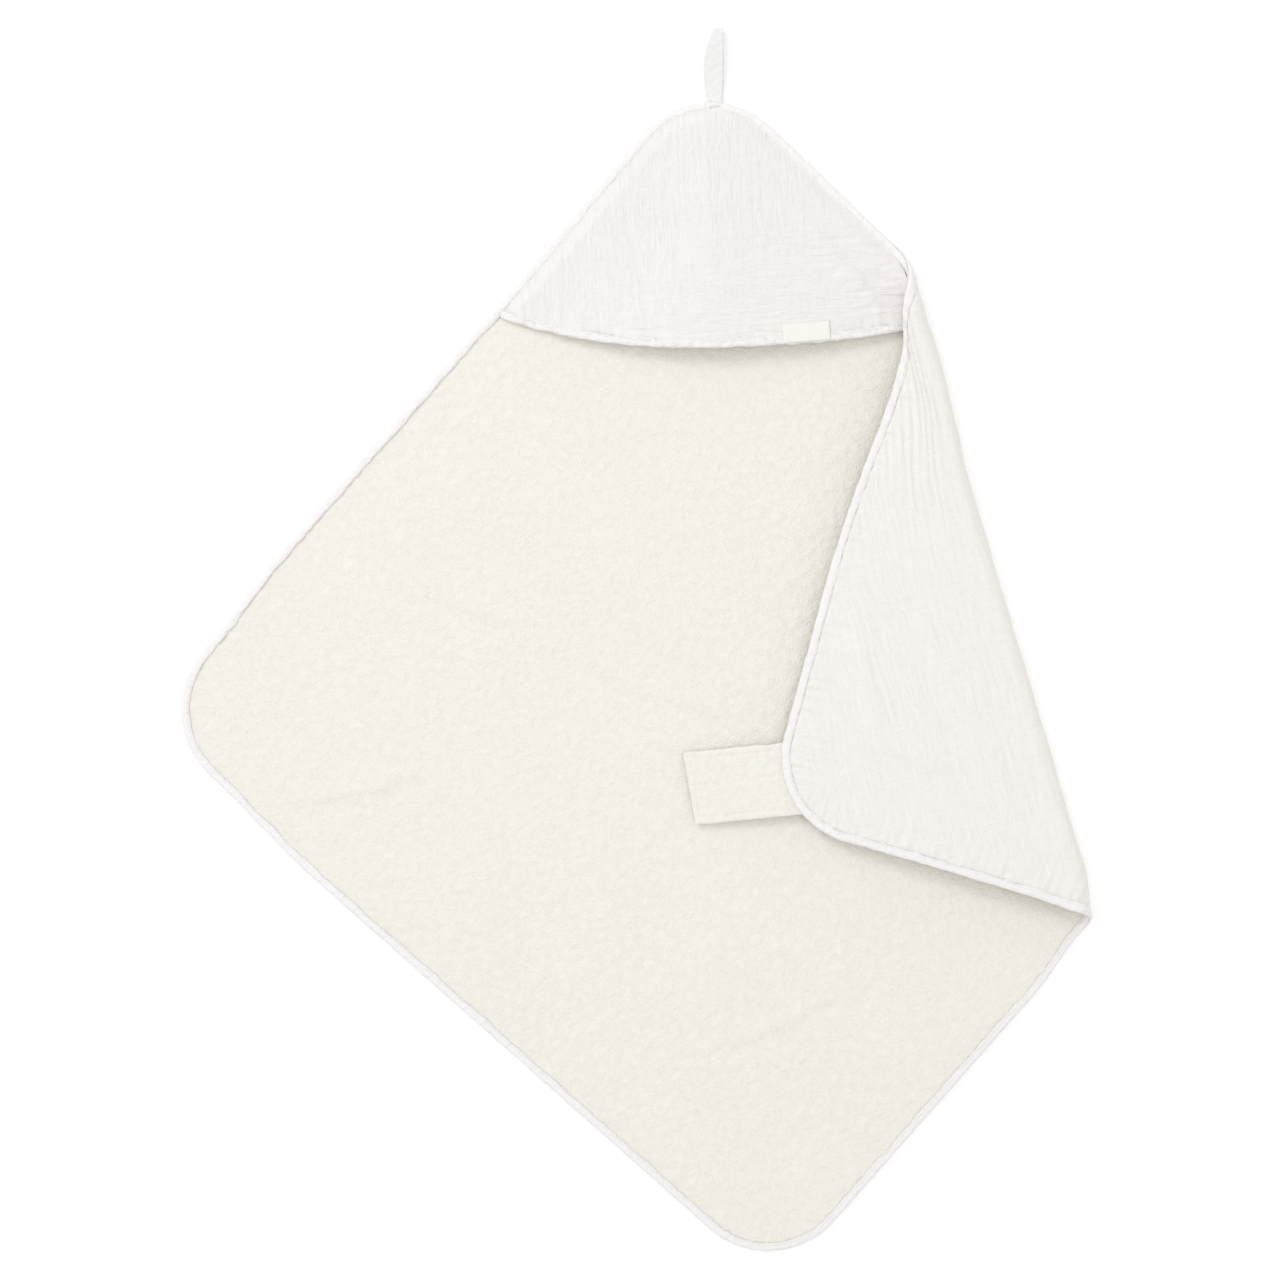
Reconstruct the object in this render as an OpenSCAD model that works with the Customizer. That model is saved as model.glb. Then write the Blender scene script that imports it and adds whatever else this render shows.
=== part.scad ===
// Hooded baby towel: a square of terry backed with crinkled muslin, laid out with its terry
// side up, its hood at +Y and its right-hand corner folded over onto the terry.
// The origin is the centre of the square, on the underside of the muslin.

/* [Towel] */
// Side of the square that the towel is cut to
towel_side = 800; // [640:5:960]
// Radius of the rounded corners
corner_r = 82; // [50:1:100]
// Thickness of the muslin backing
muslin_t = 1.2; // [0.9:0.1:1.8]
// Thickness of the terry, base cloth and pile
terry_t = 4; // [2.5:0.1:5]

/* [Edge binding] */
// Width of the folded tape that shows along the edge
binding_w = 8; // [6:0.5:12]
// Thickness of each leg of the tape
binding_leg = 0.8; // [0.5:0.1:0.9]
// Depth of the tape's outer fold, beyond the edge of the cloth
binding_lip = 2; // [1:0.5:3]

/* [Folded corner] */
// Distance from the right-hand corner to the lower end of the crease, along the side
fold_low = 334; // [280:2:400]
// Distance from the tip's square corner to the upper end of the crease, along the side
fold_top = 263; // [240:1:320]
// Outer radius of the soft roll at the crease
roll_r = 14; // [12:0.5:20]

/* [Hood] */
// Distance from the tip's square corner down to the lowest point of the hem
hood_len = 257; // [210:1:310]
// How much higher the left end of the hem is than its lowest point
hem_bow = 46; // [30:1:56]
// Distance of the hem's lowest point from the centre line, to the right
hem_shift = 50; // [0:1:60]
// How high the middle of the hem stands above the terry
hood_rise = 14; // [9:0.5:18]
// Thickness of the hood's terry lining
lining_t = 2.2; // [1.5:0.1:3]
// Width of the tape along the hem
hem_w = 8; // [6:0.5:10]

/* [Hem label] */
// Width of the label along the hem
label_w = 44; // [30:1:56]
// Height of the label across the hem
label_h = 18; // [14:1:24]
// Distance of the label's middle from the centre line, to the right
label_x = 82; // [40:1:100]
// Thickness of the label
label_t = 0.6; // [0.4:0.1:1]

/* [Hanging loop] */
// Width of the loop's tape
tape_w = 12; // [8:0.5:16]
// Thickness of the loop's tape
tape_t = 1; // [0.6:0.1:1.4]
// Length of the doubled loop beyond the towel's edge
loop_len = 70; // [50:1:90]
// Radius of the open end of the loop, inside the tape
eye_r = 4.6; // [4:0.1:6]

/* [Closing strap] */
// Width of the strap
strap_w = 68; // [50:1:80]
// Length of the strap beyond the rounded corner
strap_len = 88; // [70:1:110]
// Thickness of the doubled terry of the strap
strap_t = 3.6; // [2.5:0.1:4.5]
// Length of the strap that is sewn down inside the corner
strap_sewn = 18; // [12:1:24]
// Distance from the rounded corner to the line that the strap bends along
strap_out = 6; // [5:0.5:9]
// Angle of the strap, turned from the line through the corner
strap_turn = 24; // [0:1:30]
// Sideways shift of the strap, from the middle of the rounded corner
strap_shift = 13; // [0:1:16]
// Length of the hook patch
patch_len = 36; // [24:1:44]
// Width of the hook patch
patch_w = 50; // [30:1:60]
// Thickness of the hook patch
patch_t = 1.2; // [0.8:0.1:1.6]

/* [Hidden] */

// Layers at the edge: the tape's legs stand one leg proud of the terry, and grip the cloth.
sheet_t = muslin_t + terry_t;
binding_t = sheet_t + binding_leg;
thread_w = 0.8;
thread_t = 0.3;
thread_in = 1.5; // from the inner edge of a tape to its stitching
gap = 0.4; // between solids of bodies that move
sewn_gap = 0.1; // between curved layers that are sewn to each other
big = 4 * towel_side;
arc_steps = 20;
root_2 = sqrt(2);

// Square: its half diagonal, and how far the middle of a rounded corner lies from the centre.
half = towel_side / root_2;
arc_centre = half - corner_r * root_2;
tip_y = arc_centre + corner_r;

// Crease: from a point of the lower right side to a point of the upper right side.
crease_low = [half - fold_low / root_2, -fold_low / root_2];
crease_top = [fold_top / root_2, half - fold_top / root_2];
crease_len = norm(crease_top - crease_low);
crease_dir = (crease_top - crease_low) / crease_len;
crease_angle = atan2(crease_dir.y, crease_dir.x) - 90;

// How far a point lies beyond the crease, and how far along it.
function beyond(p) = let (d = p - crease_low) d.x * crease_dir.y - d.y * crease_dir.x;
function along(p) = (p - crease_low) * crease_dir;

// The corner's sides, as distance along the crease for each step away from it.
low_slope = along([half, 0]) / beyond([half, 0]);
top_slope = (along([half, 0]) - crease_len) / beyond([half, 0]);

// Strap: its place in its own frame, and its point farthest from the crease.
strap_hinge = corner_r + strap_out;
strap_end = corner_r + strap_len;
function off_strap(p) = [
    arc_centre + p.x * cos(strap_turn) - p.y * sin(strap_turn),
    p.x * sin(strap_turn) + p.y * cos(strap_turn)];
strap_reach = beyond(off_strap([strap_end, -strap_shift - strap_w / 2]));

// Roll: the slope at which the corner runs down from it until the hook patch clears the
// terry, half of the cloth's length round it, and its centre.
roll_mid = roll_r - binding_t / 2;
corner_drop = asin((2 * roll_r - binding_t - strap_t - patch_t - sheet_t - gap)
    / (strap_reach - PI / 2 * roll_mid));
roll_split = corner_drop / 2;
roll_len = roll_mid * (90 + roll_split) * PI / 180;
roll_gap = 0.2; // from the middle of the crease to each half of the roll
seam_gap = 0.05; // between the flat cloth and the roll that runs on from it
roll_steps = 10;

// Place of the cloth across the crease, u along it and h above the muslin's underside when
// flat. It gives the distance beyond the crease and the height.
function folded(u, h) =
    u <= -roll_len ? [u, h]
    : let (a = min(90 + corner_drop, roll_split + (90 + roll_split) * u / roll_len))
        [-roll_len + (roll_r - h) * cos(a) - max(0, u - roll_len) * cos(corner_drop),
            roll_r + (roll_r - h) * sin(a) - max(0, u - roll_len) * sin(corner_drop)];

// Outline of the square with rounded corners, drawn in by inset.
function outline(inset = 0) =
    [for (turn = [0:90:270], k = [0:arc_steps])
        let (a = turn - 45 + 90 * k / arc_steps)
        [arc_centre * cos(turn) + (corner_r - inset) * cos(a),
            arc_centre * sin(turn) + (corner_r - inset) * sin(a)]];

// The outline's upper edge at x, drawn in by inset.
function edge_y(x, inset) =
    let (r = corner_r - inset)
    abs(x) < r / root_2 ? arc_centre + sqrt(r ^ 2 - x ^ 2) : arc_centre + r * root_2 - abs(x);

// Hem: its free edge at x, and the x at the left where it comes within add of the edge.
hem_low = half - hood_len;
hem_span = hood_len - hem_bow + hem_shift;
function hem_y(x) = hem_low + hem_bow * (abs(x - hem_shift) / hem_span) ^ 2.5;
function hem_left(inset, add, x = -150, n = 30) =
    n == 0 ? x : hem_left(inset, add, -(half - inset * root_2 - add - hem_y(x)), n - 1);

// Hood: its layers, and the height of its underside, which rises away from the sewn sides.
hood_t = lining_t + muslin_t;
hood_inset = binding_w + sewn_gap;
hem_lip = 2;
hood_columns = 30;
hood_rows = 10;
function hood_z(x, y) =
    let (
        far = (half - hood_inset * root_2 - hem_low) / root_2,
        t = max(0, min(1, (half - hood_inset * root_2 - abs(x) - y) / root_2 / far))
    )
    sheet_t + sewn_gap + binding_leg + hood_rise * t * t * (3 - 2 * t);

// Loop: its root's radius, and the line it swings about.
stub_len = 3;
loop_root_r = 1.4 * tape_t;
loop_y = tip_y + stub_len + gap + loop_root_r;
loop_z = binding_t / 2;

// The main side of the crease and the corner's side, cut off at the ends of the roll.
module left_of(s) {
    translate(crease_low) rotate(crease_angle) translate([s - big, -big / 2]) square(big);
}

module right_of(s) {
    translate(crease_low) rotate(crease_angle) translate([s, -big / 2]) square(big);
}

// Puts children drawn in the crease's frame, with +X beyond it and +Y along it, in place.
module in_crease() {
    translate(crease_low) rotate([0, 0, crease_angle]) children();
}

// Turns the flat corner over, so that it runs on from the top of the roll.
module folded_over() {
    in_crease()
        translate([folded(roll_len, 0)[0], 0, folded(roll_len, 0)[1]])
        rotate([0, 180 - corner_drop, 0])
        translate([-roll_len, 0, 0])
        rotate([0, 0, -crease_angle]) translate(-crease_low)
        children();
}

// A flat ring of cloth between two insets, or a whole panel where there is no inner one.
module ring(outer, inner) {
    difference() {
        polygon(outline(outer));
        if (inner != undef) polygon(outline(inner));
    }
}

// Distance along the crease at u from it, for a point drawn in by inset from the lower
// side (end 0) or from the upper side (end 1).
function end_at(end, inset, u) =
    end == 0 ? low_slope * u + inset * sqrt(1 + low_slope ^ 2)
    : crease_len + top_slope * u - inset * sqrt(1 + top_slope ^ 2);

// Half of the roll from u0 to u1. The section is a list of [end, inset, height].
module roll(section, u0, u1) {
    n = len(section);
    points = [for (k = [0:roll_steps], p = section)
        let (u = u0 + (u1 - u0) * k / roll_steps, f = folded(u, p[2]))
        [f[0], end_at(p[0], p[1], u), f[1]]];
    walls = [for (k = [0:roll_steps - 1], c = [0:n - 1])
        [n * k + n + c, n * k + n + (c + 1) % n, n * k + (c + 1) % n, n * k + c]];
    ends = [[for (c = [0:n - 1]) c], [for (c = [n - 1:-1:0]) n * roll_steps + c]];
    in_crease() polyhedron(points, concat(ends, walls), 4);
}

module main_roll(section) {
    roll(section, -roll_len + seam_gap, -roll_gap);
}

module corner_roll(section) {
    roll(section, roll_gap, roll_len - seam_gap);
}

// Sections of the roll: a panel between two heights, and the tape at each end.
function panel_section(z0, z1) =
    [[0, binding_w, z0], [1, binding_w, z0], [1, binding_w, z1], [0, binding_w, z1]];
tape = [
    [0, 0], [binding_w, 0], [binding_w, binding_leg], [binding_lip, binding_leg],
    [binding_lip, sheet_t], [binding_w, sheet_t], [binding_w, binding_t], [0, binding_t]];
low_tape_section = [for (p = tape) [0, p[0], p[1]]];
top_tape_section = [for (k = [7:-1:0]) [1, tape[k][0], tape[k][1]]];

// A flat layer of the towel up to the roll, and the same layer of the corner beyond it.
module main_plate(z0, z1, outer, inner) {
    translate([0, 0, z0]) linear_extrude(z1 - z0) intersection() {
        ring(outer, inner);
        left_of(-roll_len);
    }
}

module corner_plate(z0, z1, outer, inner) {
    folded_over() translate([0, 0, z0]) linear_extrude(z1 - z0) intersection() {
        ring(outer, inner);
        right_of(roll_len);
    }
}

// Everything that is clear of the roll at the hood's right end.
module clear_of_roll() {
    intersection() {
        children();
        linear_extrude(3 * roll_r) left_of(-roll_len - gap);
    }
}

// A curved layer of the hood, from its hem to its sewn sides.
module hood_layer(z, t) {
    x0 = hem_left(hood_inset, hem_lip + 1);
    x1 = crease_top.x;
    per = hood_rows + 1;
    flat = [for (i = [0:hood_columns], j = [0:hood_rows])
        let (
            x = x0 + (x1 - x0) * i / hood_columns,
            y0 = hem_y(x) + hem_lip,
            y1 = edge_y(x, hood_inset)
        )
        [x, y0 + (y1 - y0) * j / hood_rows]];
    n = len(flat);
    points = [for (top = [0, t], p = flat) [p.x, p.y, hood_z(p.x, p.y) + z + top]];
    low = [for (i = [0:hood_columns - 1], j = [0:hood_rows - 1])
        let (a = i * per + j) each [[a, a + per, a + per + 1], [a, a + per + 1, a + 1]]];
    high = [for (f = low) [n + f[2], n + f[1], n + f[0]]];
    rim = concat(
        [for (j = [0:hood_rows - 1]) [j, j + 1]],
        [for (i = [0:hood_columns - 1]) [i * per + hood_rows, (i + 1) * per + hood_rows]],
        [for (j = [hood_rows:-1:1]) [hood_columns * per + j, hood_columns * per + j - 1]],
        [for (i = [hood_columns:-1:1]) [i * per, (i - 1) * per]]);
    sides = [for (e = rim) [e[0], e[1], n + e[1], n + e[0]]];
    clear_of_roll() polyhedron(points, concat(low, high, sides), 4);
}

// A ribbon along the hem, between two distances in from its edge and two heights.
module hem_ribbon(in0, in1, z0, z1, x0, x1, steps) {
    points = [for (k = [0:steps])
        let (x = x0 + (x1 - x0) * k / steps)
        for (c = [[in0, z0], [in1, z0], [in1, z1], [in0, z1]])
            let (y = hem_y(x) + c[0]) [x, y, hood_z(x, y) + c[1]]];
    walls = [for (k = [0:steps - 1], c = [0:3])
        [4 * k + c, 4 * k + (c + 1) % 4, 4 * k + 4 + (c + 1) % 4, 4 * k + 4 + c]];
    last = 4 * steps;
    clear_of_roll() polyhedron(
        points, concat([[3, 2, 1, 0]], walls, [[last, last + 1, last + 2, last + 3]]), 4);
}

// The strap's frame: +X along the strap from the middle of the rounded corner.
module at_strap() {
    folded_over() translate([arc_centre, 0, 0]) rotate([0, 0, strap_turn]) children();
}

module strap_bar(x0, x1, z, t, w = strap_w) {
    translate([x0, -strap_shift - w / 2, z]) cube([x1 - x0, w, t]);
}

module muslin_back() {
    color("#f6f2ee") {
        main_plate(0, muslin_t, binding_w);
        main_plate(binding_leg, binding_leg + muslin_t, binding_lip, binding_w);
        main_roll(panel_section(0, muslin_t));
    }
}

module terry_face() {
    color("#f3f0e6") {
        main_plate(muslin_t, sheet_t, binding_w);
        main_plate(binding_leg + muslin_t, sheet_t, binding_lip, binding_w);
        main_roll(panel_section(muslin_t, sheet_t));
    }
}

module edge_binding() {
    color("#f8f5f4") {
        main_plate(0, binding_t, 0, binding_lip);
        main_plate(0, binding_leg, binding_lip, binding_w);
        main_plate(sheet_t, binding_t, binding_lip, binding_w);
        main_roll(low_tape_section);
        main_roll(top_tape_section);
    }
}

module binding_stitching() {
    inset = binding_w - thread_in;
    color("white") translate([0, 0, binding_t]) linear_extrude(thread_t) intersection() {
        ring(inset - thread_w, inset);
        left_of(-roll_len);
    }
}

module corner_muslin() {
    color("#f4f0ec") {
        corner_plate(0, muslin_t, binding_w);
        corner_plate(binding_leg, binding_leg + muslin_t, binding_lip, binding_w);
        corner_roll(panel_section(0, muslin_t));
    }
}

module corner_terry() {
    color("#f1eee4") {
        corner_plate(muslin_t, sheet_t, binding_w);
        corner_plate(binding_leg + muslin_t, sheet_t, binding_lip, binding_w);
        corner_roll(panel_section(muslin_t, sheet_t));
    }
}

module corner_binding() {
    color("#f8f5f4") {
        corner_plate(0, binding_t, 0, binding_lip);
        corner_plate(0, binding_leg, binding_lip, binding_w);
        corner_plate(sheet_t, binding_t, binding_lip, binding_w);
        corner_roll(low_tape_section);
        corner_roll(top_tape_section);
    }
}

module corner_stitching() {
    inset = binding_w - thread_in;
    color("white") corner_plate(-thread_t, 0, inset - thread_w, inset);
}

module hood_lining() {
    color("#efece0") hood_layer(0, lining_t);
}

module hood_muslin() {
    color("#f8f4f1") hood_layer(lining_t, muslin_t);
}

module hem_binding() {
    x0 = hem_left(hood_inset, hem_w);
    x1 = crease_top.x;
    color("#faf7f5") {
        hem_ribbon(0, hem_lip, -binding_leg, hood_t + binding_leg, x0, x1, 40);
        hem_ribbon(hem_lip, hem_w, -binding_leg, -sewn_gap, x0, x1, 40);
        hem_ribbon(hem_lip, hem_w, hood_t + sewn_gap, hood_t + binding_leg, x0, x1, 40);
    }
}

module hem_stitching() {
    z = hood_t + binding_leg + sewn_gap;
    x0 = hem_left(hood_inset, hem_w);
    x1 = label_x - label_w / 2 - gap;
    color("white")
        hem_ribbon(hem_w - thread_in - thread_w, hem_w - thread_in, z, z + thread_t, x0, x1, 40);
}

module hem_label() {
    z = hood_t + binding_leg + sewn_gap;
    color("#f3efe2")
        hem_ribbon(1, 1 + label_h, z, z + label_t,
            label_x - label_w / 2, label_x + label_w / 2, 12);
}

module loop_root() {
    color("#ecebe9")
        translate([-tape_w / 2, 0, loop_z - tape_t]) linear_extrude(2 * tape_t) difference() {
            translate([0, tip_y - 2]) square([tape_w, stub_len + 2]);
            translate([tape_w / 2, 0]) polygon(outline());
        }
}

module loop_bartack() {
    color("white")
        translate([-tape_w / 2, tip_y - binding_w + thread_in + thread_w + gap, binding_t])
        cube([tape_w, 2 * thread_w, thread_t]);
}

module hanging_loop() {
    far = tip_y + loop_len - eye_r - tape_t;
    color("#ecebe9")
        translate([-tape_w / 2, 0, 0]) rotate([90, 0, 90]) linear_extrude(tape_w)
        difference() {
            hull() {
                translate([loop_y, loop_z]) circle(loop_root_r, $fn = 24);
                translate([far, eye_r + tape_t]) circle(eye_r + tape_t, $fn = 40);
            }
            hull() {
                translate([loop_y + 4 * tape_t, loop_z]) circle(0.3 * tape_t, $fn = 16);
                translate([far, eye_r + tape_t]) circle(eye_r, $fn = 40);
            }
        }
}

module strap_root() {
    color("#f1eee2") at_strap()
        strap_bar(corner_r - strap_sewn, strap_hinge - gap / 2, binding_t, strap_t);
}

module strap_stitching() {
    color("white") at_strap()
        for (x = [thread_in, strap_sewn - thread_in - thread_w])
            strap_bar(corner_r - strap_sewn + x, corner_r - strap_sewn + x + thread_w,
                binding_t + strap_t, thread_t, strap_w - 4 * thread_in);
}

module closing_strap() {
    color("#f4f1e6") at_strap()
        strap_bar(strap_hinge + gap / 2, strap_end, binding_t, strap_t);
}

module hook_patch() {
    inset = 2 * thread_in + 3;
    color("#ebe9e2") at_strap()
        strap_bar(strap_end - inset - patch_len, strap_end - inset,
            binding_t + strap_t, patch_t, patch_w);
}

muslin_back();
terry_face();
edge_binding();
binding_stitching();
corner_muslin();
corner_terry();
corner_binding();
corner_stitching();
hood_lining();
hood_muslin();
hem_binding();
hem_stitching();
hem_label();
loop_root();
loop_bartack();
hanging_loop();
strap_root();
strap_stitching();
closing_strap();
hook_patch();
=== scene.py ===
# Hooded baby towel laid out with its terry side up, one corner folded over the terry.
import math

import bmesh
import bpy
from mathutils import Matrix, Vector, noise


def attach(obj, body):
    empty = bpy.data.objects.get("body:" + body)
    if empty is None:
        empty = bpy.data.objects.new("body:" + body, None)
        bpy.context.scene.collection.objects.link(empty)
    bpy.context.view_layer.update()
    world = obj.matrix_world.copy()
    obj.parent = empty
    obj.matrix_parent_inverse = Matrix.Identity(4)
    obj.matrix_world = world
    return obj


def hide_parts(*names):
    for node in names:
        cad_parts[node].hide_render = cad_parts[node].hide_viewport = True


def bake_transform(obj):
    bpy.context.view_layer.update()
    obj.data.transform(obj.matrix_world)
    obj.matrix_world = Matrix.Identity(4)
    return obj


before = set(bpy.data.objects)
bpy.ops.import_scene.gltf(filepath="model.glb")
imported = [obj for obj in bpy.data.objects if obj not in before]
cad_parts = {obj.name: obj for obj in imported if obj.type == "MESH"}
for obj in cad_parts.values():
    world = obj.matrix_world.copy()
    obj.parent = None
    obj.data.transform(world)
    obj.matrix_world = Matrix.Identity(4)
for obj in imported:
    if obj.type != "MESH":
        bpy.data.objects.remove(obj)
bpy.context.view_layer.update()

# ---- Studio -------------------------------------------------------------------------
# White table under a wide overhead light, with a softer light from beyond the hood that
# lays the shadow of the hem on the terry. The camera hangs straight above the towel.
scene = bpy.context.scene
scene.view_settings.view_transform = "Standard"


def add_node(tree, kind, sockets=(), **settings):
    """One node of a material, its sockets set to values or joined to other nodes."""
    made = tree.nodes.new("ShaderNode" + kind)
    for name, value in settings.items():
        setattr(made, name, value)
    for name, value in dict(sockets).items():
        if isinstance(value, bpy.types.NodeSocket):
            tree.links.new(value, made.inputs[name])
        else:
            made.inputs[name].default_value = value
    return made


def new_finish(name):
    """An empty material: its tree and its shader."""
    finish = bpy.data.materials.new(name)
    finish.use_nodes = True
    return finish, finish.node_tree, finish.node_tree.nodes["Principled BSDF"]


table_bm = bmesh.new()
bmesh.ops.create_grid(table_bm, x_segments=1, y_segments=1, size=60)
bmesh.ops.translate(table_bm, vec=(0, 0, -0.0004), verts=table_bm.verts)
table_mesh = bpy.data.meshes.new("white_table")
table_bm.to_mesh(table_mesh)
table_bm.free()
white_table = bpy.data.objects.new("white_table", table_mesh)
scene.collection.objects.link(white_table)
table_finish, table_tree, table_shader = new_finish("white_table")
table_shader.inputs["Base Color"].default_value = (0.93, 0.93, 0.93, 1)
table_shader.inputs["Roughness"].default_value = 0.9
table_shader.inputs["Specular IOR Level"].default_value = 0.1
table_shader.inputs["Emission Color"].default_value = (1, 1, 1, 1)
table_shader.inputs["Emission Strength"].default_value = 0.14
table_mesh.materials.append(table_finish)

sky = bpy.data.worlds.new("studio")
sky.use_nodes = True
sky.node_tree.nodes["Background"].inputs["Color"].default_value = (1, 0.993, 0.978, 1)
sky.node_tree.nodes["Background"].inputs["Strength"].default_value = 0.80
scene.world = sky


def hang_light(name, size, watts, place):
    """A square light that faces the towel."""
    lamp = bpy.data.lights.new(name, "AREA")
    lamp.shape = "SQUARE"
    lamp.size = size
    lamp.energy = watts
    lamp.color = (0.98, 1.0, 1.05)
    hung = bpy.data.objects.new(name, lamp)
    hung.location = place
    hung.rotation_euler = (-Vector(place)).to_track_quat("-Z", "Y").to_euler()
    scene.collection.objects.link(hung)


hang_light("light_beyond_hood", 1.3, 30, (-1.7, 2.1, 2.3))
hang_light("light_overhead", 2.4, 20, (0.1, -0.3, 3.6))

lens = bpy.data.cameras.new("overhead")
lens.lens = 90.5
lens.sensor_width = 36
camera = bpy.data.objects.new("overhead", lens)
camera.location = (-0.0893, 0.0438, 3.0)
camera.rotation_euler = (0, 0, math.radians(-3.5))
scene.collection.objects.link(camera)
scene.camera = camera

# ---- Terry face ---------------------------------------------------------------------
# A square of looped cotton terry with rounded corners, sewn to the muslin all round. Its
# right-hand corner is turned over in a soft roll, so the pile lies inside the fold.
side = 0.800
corner_r = 0.082
sheet_t = 0.0052
half = side / math.sqrt(2)
arc_centre = half - corner_r * math.sqrt(2)
crease_low = Vector((half - 0.334 / math.sqrt(2), -0.334 / math.sqrt(2)))
crease_top = Vector((0.263 / math.sqrt(2), half - 0.263 / math.sqrt(2)))
crease_way = (crease_top - crease_low).normalized()
crease_out = Vector((crease_way.y, -crease_way.x))
roll_r = 0.014
roll_len = 0.0174726
corner_drop = math.radians(2.0192554)
roll_split = corner_drop / 2
cloth_half, cloth_r = 0.395, 0.077
pile_limit = 0.0066


def smooth(t):
    """A soft step from 0 to 1."""
    t = min(1, max(0, t))
    return t * t * (3 - 2 * t)


def from_crease(x, y):
    """How far a flat point lies beyond the crease, and how far along it."""
    away = Vector((x, y)) - crease_low
    return away.dot(crease_out), away.dot(crease_way)


def settle(x, y):
    """How far the cloth as laid out has strayed: its tip out, its left corner in."""
    tip = smooth((y - 0.37) / 0.15)
    blunt = smooth((-x - 0.40) / 0.12)
    return Vector((0.0012 * tip + 0.0115 * blunt, 0.0082 * tip))


def fold_line(x, y, start, end, width):
    """How much a soft fold between two points lifts a third one, from 0 to 1."""
    way = Vector(end) - Vector(start)
    away = Vector((x, y)) - Vector(start)
    run = away.dot(way) / way.length_squared
    off = (away - way * run).length
    return math.exp(-(off / width) ** 2) * smooth((run + 0.3) / 0.5) * smooth((1.3 - run) / 0.5)


def lay_folded(x, y, height):
    """Place in the folded towel of a flat point at a height above the muslin's underside."""
    beyond, along = from_crease(x, y)
    if beyond <= -roll_len:
        out, z = beyond, height
    else:
        past = max(0, beyond - roll_len)
        turn = min(math.pi / 2 + corner_drop,
                   roll_split + (math.pi / 2 + roll_split) * beyond / roll_len)
        out = -roll_len + (roll_r - height) * math.cos(turn) - past * math.cos(corner_drop)
        z = roll_r + (roll_r - height) * math.sin(turn) - past * math.sin(corner_drop)
        z += 0.0026 * smooth(past / 0.05) * (
            0.5 + 0.5 * noise.noise(Vector((x * 11, y * 11, 4.2))))
        if 0.03 < past < 0.2:
            z += 0.0024 * fold_line(beyond, along, (0.150, 0.312), (0.157, 0.222), 0.009)
            z += 0.0022 * fold_line(beyond, along, (0.157, 0.212), (0.108, 0.176), 0.008)
            z += 0.0016 * fold_line(beyond, along, (0.090, 0.300), (0.060, 0.160), 0.016)
        bunched = smooth((along - 0.36) / 0.18)
        out += 0.014 * bunched * smooth(past / 0.035)
        z += 0.0009 * bunched * smooth(past / 0.006) * smooth((0.09 - past) / 0.05) * (
            1 + math.sin((past + 0.10 * along) * 720))
    drawn = 0.0058 * smooth((0.52 - along) / 0.1) + 0.0060 * smooth((0.05 - along) / 0.05)
    out -= drawn * smooth((beyond + 0.09) / 0.075) * smooth((0.19 - beyond) / 0.16)
    spot = crease_low + crease_way * along + crease_out * out + settle(x, y)
    return Vector((spot.x, spot.y, z))


def round_corner(x, y, edge, radius):
    """Draws a point of a square's corner in to a round one, and turns the square on its tip."""
    px, py = abs(x) - (edge - radius), abs(y) - (edge - radius)
    if px > 0 and py > 0:
        far = max(px, py)
        turn = math.pi / 4 * min(px, py) / far
        near, long = far * math.sin(turn), far * math.cos(turn)
        px, py = (long, near) if px >= py else (near, long)
        x = math.copysign(edge - radius + px, x)
        y = math.copysign(edge - radius + py, y)
    return (x - y) / math.sqrt(2), (x + y) / math.sqrt(2)


def inset_of(x, y):
    """How far a flat point lies inside the towel's edge."""
    u, v = abs(x + y) / math.sqrt(2), abs(x - y) / math.sqrt(2)
    straight = side / 2 - corner_r
    if u > straight and v > straight:
        return corner_r - math.hypot(u - straight, v - straight)
    return side / 2 - max(u, v)


def new_piece(name, bm, *finishes):
    """The piece that a mesh makes, with smooth faces and its materials."""
    for face in bm.faces:
        face.smooth = True
    mesh = bpy.data.meshes.new(name)
    bm.to_mesh(mesh)
    bm.free()
    for finish in finishes:
        mesh.materials.append(finish)
    made = bpy.data.objects.new(name, mesh)
    scene.collection.objects.link(made)
    return made


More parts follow.
